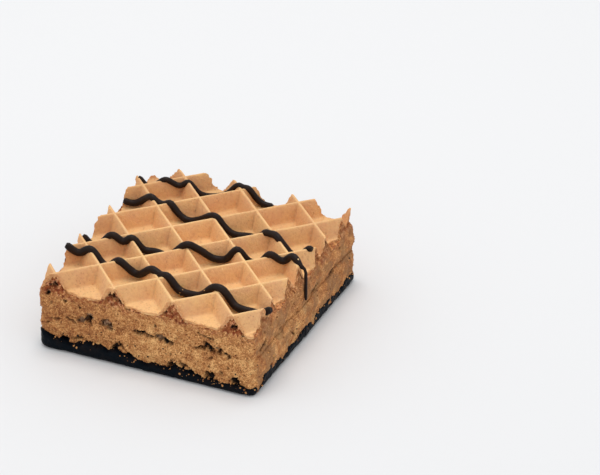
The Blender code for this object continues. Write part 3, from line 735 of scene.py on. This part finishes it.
# hollows in the cut sides: place along the side, height, half width, half height and depth in mm, then
# the tilt in degrees and the greyness, where they aren't 0
hollows = {
    front: [
        (-14.5, 8.9, 0.9, 0.95, 2.6), (-16.2, 8.4, 1.1, 0.55, 0.6, 25, 1),
        (-13.8, 10, 0.7, 0.9, 0.6, -20, 1), (-10.3, 9, 0.9, 1.1, 0.8, -35, 1),
        (-9.2, 8, 0.5, 0.4, 1, 0, 0.5), (-2.4, 8.9, 0.75, 0.6, 1.6),
        (-1.2, 9.1, 0.6, 0.45, 1.2, 0, 0.1), (-0.4, 8.5, 0.5, 0.35, 0.8, 0, 0.6),
        (0.6, 8.7, 0.45, 0.45, 1.6), (1.7, 8.6, 0.5, 0.35, 1.1, 0, 0.4),
        (3, 9, 1.2, 0.9, 0.8, -15, 1), (4.3, 8.2, 0.7, 0.6, 1.8, -20),
        (5.4, 8.1, 0.5, 0.4, 1.3, 0, 0.3), (12.9, 9, 0.7, 0.55, 1.9, 20),
        (14.1, 9.6, 0.8, 0.85, 2.4, -10), (15.4, 8.8, 0.9, 0.55, 2, -20),
        (17, 8.5, 0.7, 0.4, 1.3, -10, 0.2), (18.4, 8.6, 0.45, 0.4, 1.4),
        (19.2, 7.9, 0.45, 0.4, 1.2, 0, 0.3), (17, 9.5, 1.1, 0.45, 0.6, -20, 0.8),
        (11.8, 8.6, 0.5, 0.3, 0.9, 0, 0.4), (-23.9, 13.7, 0.45, 0.55, 1.1), (-19.8, 12.6, 0.35, 0.3, 0.9),
        (-16.4, 11.6, 0.3, 0.25, 0.7), (-6.8, 15.3, 0.5, 0.6, 1.2, 20), (-8.9, 16, 0.9, 0.5, 1.2, -25),
        (3.6, 15.6, 0.6, 0.5, 1.1, 30), (-5, 14.3, 0.55, 0.35, 0.9, -25),
        (20.4, 15.6, 0.6, 0.5, 1.1, 20), (-22.1, 7.6, 0.8, 0.2, 0.5), (-22.6, 15.6, 0.8, 0.5, 1, 20),
        (8.8, 14.4, 0.6, 0.4, 0.9, -30), (22.6, 14.6, 0.6, 0.35, 0.8, -30),
        # pits where the filling meets the chocolate
        (-17.2, 3.6, 1.3, 0.35, 1.4, 15), (-20.4, 2.6, 0.9, 0.7, 1.4), (-8, 3.5, 0.8, 1.1, 1.8, -10),
        (5.6, 2.6, 0.9, 0.9, 1.8, 20), (8.2, 3.2, 0.7, 0.6, 1.2, 0, 0.3), (14.8, 2.5, 1, 0.9, 1.3, -10),
        (20.7, 2.4, 0.9, 0.8, 1.3, 20)],
    right: [
        (-22.9, 10.1, 0.8, 0.65, 1.5), (-21.2, 10.2, 0.7, 0.5, 1.1, 0, 0.1),
        (-12.6, 9.4, 0.5, 0.3, 0.7, 0, 0.2), (4.4, 9.6, 1.6, 0.6, 1.5), (14.5, 8.8, 1.5, 0.5, 1.5, 5),
        (-18.4, 15.6, 0.5, 0.7, 0.9, 30, 0.2)],
    back: [], left: [],
}
# cracks: from (place, height) to (place, height), half width, depth
cracks = {
    front: ((-7.3, 4.9, -5.2, 3.2, 0.19, 0.8), (-5.2, 3.2, -3.7, 1.8, 0.19, 0.8),
            (7.6, 4.2, 9.3, 3.2, 0.16, 0.7), (9.3, 3.2, 11.4, 1.2, 0.19, 0.8),
            (-20, 8, -17.4, 7.4, 0.13, 0.5), (12, 12.4, 15.6, 11.6, 0.12, 0.4)),
    right: ((-8, 5.6, -6.2, 4, 0.17, 0.6),),
    back: ((-9, 4.6, -6.6, 3.2, 0.17, 0.7), (6, 5, 9, 3.6, 0.17, 0.7)),
    left: ((3, 4.8, 6.2, 3.6, 0.17, 0.7),),
}


def addSeededHollows():
    # rows of hollows along the seam of the back and left sides, and small ones all round
    rng = np.random.default_rng(7)
    for side in (back, left):
        for middle in (-12.6, 1.5, 15.6):
            for _ in range(5):
                hollows[side].append((middle + rng.uniform(-3.4, 3.4), 8.4 + rng.uniform(-0.3, 0.9),
                                      rng.uniform(0.4, 1.1), rng.uniform(0.25, 0.6), rng.uniform(0.9, 2.2),
                                      rng.uniform(-25, 25), rng.choice((0.0, 0.0, 0.7))))
    for side in (front, right, back, left):
        for _ in range(12):
            size = rng.uniform(0.16, 0.34)
            hollows[side].append((rng.uniform(-25, 25), rng.uniform(3.6, 13.6), size, size * 0.8, size * 2.0))


addSeededHollows()


def crag(x, y, z, seed):
    return (sideValues["cragBroad"] * uneven(x, y, z, 6.0 * mm, seed)
            + sideValues["cragFine"] * uneven(x, y, z, 2.1 * mm, seed + 1))


def sideOf(columns):
    # which side each column lies on, and its place along it
    nx, ny = columns[:, 2], columns[:, 3]
    side = np.where(abs(ny) >= abs(nx), np.where(ny < 0, front, back), np.where(nx > 0, right, left))
    return side, np.where((side == front) | (side == back), columns[:, 0], columns[:, 1])


def carve(side, along, z, ragged, facets):
    # depth taken out by hollows and cracks, how dark each point is painted as shade in them, and how grey
    # each point is
    depth, dark, grey = (np.zeros_like(z) for _ in range(3))
    for where in (front, right, back, left):
        for place, height, halfWide, halfHigh, deep, *rest in hollows[where]:
            tilt, greyness = (*rest, 0, 0)[:2]
            c, s = math.cos(math.radians(tilt)), math.sin(math.radians(tilt))
            da, dz = along / mm - place, z / mm - height
            r = np.hypot((c * da + s * dz) / halfWide, (-s * da + c * dz) / halfHigh) + 0.7 * ragged
            share = np.where(side == where, smoothStep((1.25 - r) / 0.22), 0.0)
            depth = np.maximum(depth, share * deep * mm * facets)
            dark = np.maximum(dark, share * min(1.0, deep) * (1 - greyness))
            grey = np.maximum(grey, share * greyness)
        for a0, z0, a1, z1, halfWide, deep in cracks[where]:
            da, dz = a1 - a0, z1 - z0
            pa, pz = along / mm - a0, z / mm - z0
            t = np.clip((pa * da + pz * dz) / (da * da + dz * dz), 0, 1)
            r = np.hypot(pa - t * da, pz - t * dz) + 0.12 * ragged
            share = np.where(side == where, smoothStep((1.9 * halfWide - r) / halfWide), 0.0)
            depth = np.maximum(depth, share * deep * mm)
            dark = np.maximum(dark, 0.8 * share)
    return depth, dark, grey


def seamLine(x, y):
    # the seam wanders a little
    return seamHeight + 0.35 * mm * uneven(x, y, 0.0, 7.0 * mm, 91)


def nearSeam(x, y, h, out):
    # both layers come to the same outline at the seam, which opens as a groove in places
    share = math.exp(-((h - seamLine(x, y)) / (0.7 * mm)) ** 2)
    opening = min(1.0, max(0.0, 0.3 + 2.2 * uneven(x, y, 0.0, 3.4 * mm, 92)))
    shared = 0.5 * crag(x, y, h, 31) + 0.5 * crag(x, y, h, 41) - sideValues["seamGroove"] * opening
    return out + (shared - out) * share


def layerSides(columns, lows, highs, rowCount, baseOutset, seed, calmTop=False):
    # the crumbly side of one layer: points, and the hollow, grey and smear values of each
    values = sideValues
    side, along = sideOf(columns)
    z = lows + (highs - lows) * np.linspace(0, 1, rowCount)[:, None]
    out, ragged, smear, facets = (np.zeros_like(z) for _ in range(4))
    for k, (x, y, nx, ny) in enumerate(columns):
        smeared = max(0.0, nx) ** 2 * min(1.0, max(0.0, 0.85 + 1.6 * uneven(x, y, 0.0, 9.0 * mm, 95)))
        smear[:, k] = smeared
        for j, h in enumerate(z[:, k]):
            ragged[j, k] = uneven(x, y, h, 0.7 * mm, 65) + 0.7 * uneven(x, y, h, 0.33 * mm, 66)
            facets[j, k] = 0.9 + 0.8 * noise.cell((x / (0.6 * mm), y / (0.6 * mm), h / (0.5 * mm)))
            cells = noise.voronoi([length / values["grainSize"] for length in (x, y, h)])[0]
            rough = values["clump"] * uneven(x, y, h, values["clumpSize"], seed + 5)
            rough += values["grain"] * (0.45 - cells[0])
            rough *= min(1.0, 0.1 + (highs[k] - h) / (0.7 * mm)) if calmTop else 1.0
            streak = values["streakTall"] * uneven(x, 0.22 * y, h, 0.75 * mm, 67)
            streak += values["streakFine"] * uneven(x, y, 0.3 * h, 0.6 * mm, 68)
            out[j, k] = baseOutset(x, y, nx, ny, h) + rough * (1 - 0.7 * smeared) + streak * smeared
    depth, dark, grey = carve(side[None, :], along[None, :], z, ragged, facets)
    out -= depth
    points = np.stack((columns[:, 0] + columns[:, 2] * out, columns[:, 1] + columns[:, 3] * out, z), -1)
    return points, dark, grey, smear


def looseness(smear, dark, grey):
    # where crumbs cling
    return (1 - 0.85 * smear) * (1 - dark) * (1 - 0.7 * grey)


def makeUpperFilling():
    values = sideValues
    columns = sideColumns(values["step"])
    x, y, nx, ny = columns.T
    lows = np.array([seamLine(a, b) for a, b in zip(x, y)])
    sheetSupport = 12.8 * mm   # what the sheet's middle lies on
    floor = pockets["ridgeTop"] - pockets["depth"] - pockets["dish"] - pockets["thickness"]
    rise = np.array((0.0, 1.3, 3.0, 4.7, 10.1)) * mm
    bulge = np.array((0.0, 0.3, 1.0, 0.3, -1.0)) * values["bulge"]

    def outset(x, y, nx, ny, h):
        above = h - seamHeight
        lobe = 1 + leftLobe * max(0.0, -nx) ** 2
        out = nearSeam(x, y, h, lobe * float(np.interp(above, rise, bulge)) + crag(x, y, h, 31))
        out += localSum(x, y, cornerSwells) - values["rightStep"] * max(0.0, nx) ** 2
        under = float(smoothStep((h - floor - 0.2 * mm) / (0.9 * mm)))
        return out - values["underRidge"] * under * (1 + 0.9 * uneven(x, y, h, 0.9 * mm, 84))

    # the top meets the sheet's underside where the side really stands
    highs = np.full(len(columns), floor)
    for _ in range(4):
        top = np.array([outset(*column, h) for column, h in zip(columns, highs)])
        highs = sheetUnder(x + nx * top, y + ny * top) + 0.15 * mm
    points, dark, grey, smear = layerSides(columns, lows, highs, 46, outset, 31, calmTop=True)
    spots = np.array([uneven(*point, 0.7 * mm, 85) for point in points.reshape(-1, 3)]).reshape(dark.shape)
    under = smoothStep((points[..., 2] - floor + (0.3 + spots) * mm) / (0.9 * mm))
    fading = smoothStep((points[..., 2] - floor + (1.4 + 1.5 * spots) * mm) / (1.6 * mm))
    under *= 1 - 0.6 * np.clip(nx, 0.0, 1.0) ** 2
    fading *= 1 - 0.5 * np.clip(nx, 0.0, 1.0) ** 2
    red = np.clip(np.maximum(under * (1.0 + spots), 0.4 * fading * (1 + spots)), 0.0, 1.0)
    # painted shade: darker cores below the sheet's ridges
    dark = np.maximum(dark, under * smoothStep((spots - 0.15) / 0.25) * 0.45)
    # inwards over the edge, close below the sheet
    rings, spotRings = [], []
    for inset in (0.12, 0.3, 0.5, 0.7, 0.95, 1.2, 1.5, 1.9, 2.4):
        rx, ry = points[-1, :, 0] - nx * inset * mm, points[-1, :, 1] - ny * inset * mm
        top = sheetUnder(rx, ry) + 0.15 * mm
        rough = np.array([uneven(a, b, c, 0.7 * mm, 83) for a, b, c in zip(rx, ry, top)])
        rings.append(np.stack((rx, ry, top + 0.18 * mm * rough), -1))
        spotRings.append(0.45 + rough)
    drop = rings[-1].copy()
    drop[:, 2] = sheetSupport
    mesh = closedShell("upperFilling", np.concatenate((points, rings, drop[None])), (0, 0, seamHeight),
                       (0, 0, sheetSupport))
    inner = np.array(spotRings).ravel()
    shelf = np.repeat(np.arange(len(rings)) < 6, len(columns))
    tail = np.zeros(len(columns) + 2)
    # on the top below the sheet, patches of painted shade
    marks = {"hollowShade": (dark, smoothStep((inner - 0.65) / 0.3) * 0.4), "red": (red, inner),
             "grey": (grey, inner * 0), "smear": (smear, inner * 0),
             "crumbs": (looseness(smear, dark, grey), shelf)}
    marks = {mark: np.concatenate((sides.ravel(), top, tail)) for mark, (sides, top) in marks.items()}
    return finishLayer(mesh, marks, upperCrumb, "upper_cocoa_crumb", "filling_upper")


# where the chocolate alone is rounder at its front corners, and where its rim is higher or, if
# negative, lower (x, y, extra, reach)
baseCorners = placesInMm((-25.2, -26.0, -0.5, 1.2), (25.2, -26.0, -0.3, 1.4))
rimSwells = placesInMm(
    (-26.5, -26.8, 2, 2.6), (-21.6, -27.6, -1.3, 1), (-14.7, -27.6, 1.1, 1.4), (-7.3, -27.6, 1.5, 1),
    (-18.7, -26.3, -1, 1.1), (-11.8, -26.3, 0.6, 1.4), (0.5, -27.6, -0.7, 3), (4.8, -26.3, -0.7, 1.2),
    (7, -27.6, 1.2, 1.2), (17, -26.3, -1.2, 5), (25.9, -26, -0.6, 2.4), (25.9, -20, 3, 1.7),
    (25.9, -11.5, -0.7, 3), (25.9, 5, 0.8, 4.5), (-26.5, 10, 1.4, 4), (8, 26.8, 1.8, 4.5))
baseValues = lengths(outLeft=1.0, outRight=0.4, outFront=1.6, outBack=0.6, wander=0.3, rimMean=2.7,
                     rimSwing=1.0, rimLeast=1.8, rimFine=0.35, taper=0.9, rounding=1.1, lump=0.14, inside=1.3)
rimCalm = 0.5                  # how much evener the rim is along the front
# where the filling's foot stands out over the rim, and where more crumbs cling to the rim
footSwells = placesInMm((16.5, -26.3, 0.6, 4.5))
rimDust = placesInMm((15.0, -26.3, 1.2, 5.0), (-17.0, -26.3, 0.5, 3.5))


def rimHeight(x, y):
    calm = rimCalm if y < square["corner"] - square["halfY"] else 0.0
    swing = baseValues["rimSwing"] * (1 - calm)
    height = baseValues["rimMean"] + swing * uneven(x, y, 0.0, 4.7 * mm, 3)
    height += 0.6 * swing * uneven(x, y, 0.0, 1.9 * mm, 4) + localSum(x, y, rimSwells)
    return max(height, baseValues["rimLeast"])


def makeLowerFilling():
    values = sideValues
    columns = sideColumns(values["step"])
    rims = np.array([rimHeight(x, y) for x, y, _, _ in columns])
    highs = np.array([seamLine(x, y) for x, y, _, _ in columns]) - 0.02 * mm

    def outset(x, y, nx, ny, h):
        lobe = 1 + leftLobe * max(0.0, -nx) ** 2
        bulge = lobe * values["bulge"] * max(0.0, 1 - ((h - 5.8 * mm) / (3.0 * mm)) ** 2)
        foot = localSum(x, y, footSwells) * min(1.0, max(0.0, (7.2 * mm - h) / (4.5 * mm)))
        return nearSeam(x, y, h, bulge + crag(x, y, h, 41)) + foot + localSum(x, y, cornerSwells)

    points, dark, grey, smear = layerSides(columns, rims - 1.5 * mm, highs, 42, outset, 41)
    tucked = points[0].copy()
    tucked[:, :2] -= columns[:, 2:] * 1.2 * mm
    tucked[:, 2] = 1.4 * mm
    grid = np.concatenate((tucked[None], points))
    mesh = closedShell("lowerFilling", grid, (0, 0, 1.4 * mm), (0, 0, seamHeight))
    head = np.zeros(len(columns))
    # the hollows and cracks are painted dark as shade
    marks = {"hollowShade": dark, "grey": grey, "smear": smear, "red": 0 * dark,
             "crumbs": looseness(smear, dark, grey)}
    marks = {mark: np.concatenate((head, sides.ravel(), [0, 0])) for mark, sides in marks.items()}
    return finishLayer(mesh, marks, lowerCrumb, "lower_cocoa_crumb", "filling_lower")


def makeChocolateBase():
    values = baseValues
    columns = sideColumns(sideValues["step"])
    rowsBelow, rowsAbove = 7, 20
    grid = np.zeros((rowsBelow + rowsAbove + 2, len(columns), 3))
    rounding, lump = values["rounding"], values["lump"]
    for k, (x, y, nx, ny) in enumerate(columns):
        full = nx * nx * (values["outRight"] if nx > 0 else values["outLeft"])
        full += ny * ny * (values["outBack"] if ny > 0 else values["outFront"])
        full += localSum(x, y, cornerSwells + baseCorners)
        if min(abs(x), abs(y)) > square["halfX"] / 24:
            full -= values["wander"] * (0.5 + 0.5 * uneven(x, y, 0.0, 5.0 * mm, 51))
        rim = rimHeight(x, y) + values["rimFine"] * (uneven(x, y, 0.0, 1.3 * mm, 55)
                                                     + 0.7 * uneven(x, y, 0.0, 0.5 * mm, 56))
        # round at the foot, then up to the rim, thinning onto the filling
        for j in range(rowsBelow):
            angle = math.pi / 2 * j / rowsBelow
            out, z = full - rounding * (1 - math.sin(angle)), rounding * (1 - math.cos(angle))
            out += lump * uneven(x, y, z, 1.5 * mm, 57) * min(1.0, z / (0.5 * mm))
            grid[j, k] = (x + nx * out, y + ny * out, z)
        behind = crag(x, y, rim, 41) + localSum(x, y, cornerSwells + footSwells) - 0.35 * mm
        for j in range(rowsAbove):
            z = rounding + (rim - rounding) * j / (rowsAbove - 1)
            lean = min(1.0, max(0.0, 1 - (rim - z) / values["taper"]))
            out = full + (behind - full) * lean ** 2.2
            out += lump * uneven(x, y, z, 1.5 * mm, 57) + 0.5 * lump * uneven(x, y, z, 0.5 * mm, 58)
            grid[rowsBelow + j, k] = (x + nx * out, y + ny * out, z)
        grid[-2, k] = (x - nx * 1.4 * mm, y - ny * 1.4 * mm, rim - 0.4 * mm)
        grid[-1, k] = (x - nx * 1.6 * mm, y - ny * 1.6 * mm, values["inside"])
    mesh = closedShell("chocolateBase", grid, (0, 0, 0), (0, 0, values["inside"]))
    # crumbs cling in patches close below the rim
    heights, rims = grid[:-2, :, 2], grid[-3, :, 2]
    patches = np.array([0.5 + uneven(x, y, 0.0, 3.0 * mm, 59) + localSum(x, y, rimDust) / mm
                        for x, y, _, _ in columns])
    near = smoothStep((heights - rims + 1.3 * mm) / (1.0 * mm)) * np.clip(patches, 0.1, 1.6)
    near = np.where(heights > 0.8 * mm, near + 0.04, 0.0)
    marks = {"crumbs": np.concatenate((near.ravel(), np.zeros(2 * len(columns) + 2)))}
    return finishLayer(mesh, marks, plateChocolate, "dark_chocolate", "chocolate_base")


upperFilling = makeUpperFilling()
lowerFilling = makeLowerFilling()
chocolateBase = makeChocolateBase()


# loose crumbs, scattered over the surfaces where their "crumbs" value asks for them

crumbRagged = 0.22 * mm        # how far and how finely a crumb's shape is pushed about


def crumbTree():
    tree, add, known = newGeometryTree("scattered crumbs", {
        "Smallest": "Float", "Largest": "Float", "Density": "Float", "Seed": "Int", "Look": "Material"})

    def chance(offset, low, high, kind="FLOAT"):
        seed = add("Math", (known["Seed"], offset), operation="ADD")
        return add("RandomValue", (low, high, None, seed), data_type=kind)

    known["wanted"] = add("InputNamedAttribute", {"Name": "crumbs"}, data_type="FLOAT")
    known["share"] = chance(11, 0.0, 1.0)
    workOut(add, known, "amount MULTIPLY wanted Density", "share POWER share 2.5",
            "range SUBTRACT Largest Smallest", "size MULTIPLY_ADD share range Smallest")
    spots = add("DistributePointsOnFaces", {"Mesh": known["Geometry"], "Density": known["amount"],
                                            "Seed": known["Seed"]})
    grain = add("MeshIcoSphere", {"Radius": 1.0, "Subdivisions": 1})
    shape = add("VectorMath", {0: chance(12, (0.65,) * 3, (1.3,) * 3, "FLOAT_VECTOR"),
                               "Scale": known["size"]}, operation="SCALE")
    crumbs = add("InstanceOnPoints", {
        "Points": spots, "Instance": grain, "Scale": shape,
        "Rotation": chance(13, (0.0,) * 3, (6.28,) * 3, "FLOAT_VECTOR")})
    toned = add("StoreNamedAttribute", {"Geometry": crumbs, "Name": "tone", "Value": chance(14, 0.0, 1.0)},
                data_type="FLOAT", domain="INSTANCE")
    loose = add("RealizeInstances", {"Geometry": toned})
    push = noisePush(add, 1 / crumbRagged, crumbRagged, 1.0)
    ragged = add("SetPosition", {"Geometry": loose, "Offset": push})
    return finishTree(tree, ragged, known["Look"])


scatterTree = crumbTree()
# name, what they lie on, material, radius from smallest to largest in mm, at most how many per square mm
crumbKinds = (
    ("sheetCrumbs", waferSheet, waferCrumb, "wafer_biscuit", 0.06, 0.16, 1.6),
    ("upperCrumbs", upperFilling, creamCrumb, "upper_cocoa_crumb", 0.06, 0.24, 2.5),
    ("lowerCrumbs", lowerFilling, creamCrumb, "lower_cocoa_crumb", 0.06, 0.24, 2.5),
    ("rimCrumbs", chocolateBase, creamCrumb, "lower_cocoa_crumb", 0.07, 0.34, 1.0),
    ("lineCrumbs", chocolateLines, waferCrumb, "wafer_biscuit", 0.08, 0.24, 3.0),
    ("darkCrumbs", lowerFilling, chocolateCrumb, "dark_chocolate", 0.08, 0.24, 0.12),
)
for seed, (name, surface, look, slotName, smallest, largest, density) in enumerate(crumbKinds, 1):
    crumbs = bakeTree(makeObject(name, surface.data.copy()), scatterTree, {
        "Smallest": smallest * mm, "Largest": largest * mm, "Density": density / mm ** 2, "Seed": seed,
        "Look": look})
    handOver(crumbs, slotName)


# the stage: floor, light and camera

stageValues = {
    "floor": "#E1E1E1", "world": "#FCFDFF", "worldStrength": 0.92, "keyPower": 1.7, "keySize": 0.3,
    "keyPlace": (-0.06, 0.1, 0.7),
}
# a long lens, 30 degrees above the front right; angles in degrees
cameraValues = {
    "azimuth": 24.35, "elevation": 30.42, "roll": -0.09, "distance": 0.7691, "lens": 209.9,
    "target": (0.01985, 0.00981, 0.0185),
}


def makeStage():
    values = stageValues
    floorMesh = bpy.data.meshes.new("floor")
    floorMesh.from_pydata([(-3, -3, 0), (3, -3, 0), (3, 3, 0), (-3, 3, 0)], [], [(0, 1, 2, 3)])
    mat = newMaterial("pale paper sweep")[0]
    fillInputs(mat.node_tree, mat.node_tree.nodes["Principled BSDF"], {
        "Base Color": linearColour(values["floor"]), "Roughness": 0.9, "Specular IOR Level": 0.1})
    floorMesh.materials.append(mat)
    makeObject("floor", floorMesh)
    world = bpy.data.worlds.new("studio")
    world.use_nodes = True
    fillInputs(world.node_tree, world.node_tree.nodes["Background"], {
        "Color": linearColour(values["world"]), "Strength": values["worldStrength"]})
    bpy.context.scene.world = world
    light = bpy.data.lights.new("softbox", "AREA")
    light.shape = "SQUARE"
    light.size = values["keySize"]
    light.energy = values["keyPower"]
    lamp = makeObject("softbox", light)
    lamp.location = values["keyPlace"]
    lamp.rotation_euler = (Vector((0, 0, 0.01)) - lamp.location).to_track_quat("-Z", "Y").to_euler()


def makeCamera():
    values = cameraValues
    azimuth, elevation = math.radians(values["azimuth"]), math.radians(values["elevation"])
    backward = Vector((math.sin(azimuth) * math.cos(elevation), -math.cos(azimuth) * math.cos(elevation),
                       math.sin(elevation)))
    sideways = (-backward).cross(Vector((0, 0, 1))).normalized()
    turn = Matrix((sideways, sideways.cross(-backward), backward)).transposed().to_4x4()
    data = bpy.data.cameras.new("camera")
    data.sensor_width = 36
    data.lens = values["lens"]
    data.clip_start = 0.01
    camera = makeObject("camera", data)
    place = Matrix.Translation(Vector(values["target"]) + backward * values["distance"])
    camera.matrix_world = place @ turn @ Matrix.Rotation(math.radians(values["roll"]), 4, "Z")
    bpy.context.scene.camera = camera


makeStage()
makeCamera()
bpy.context.scene.view_settings.view_transform = "Standard"
print("stage made")
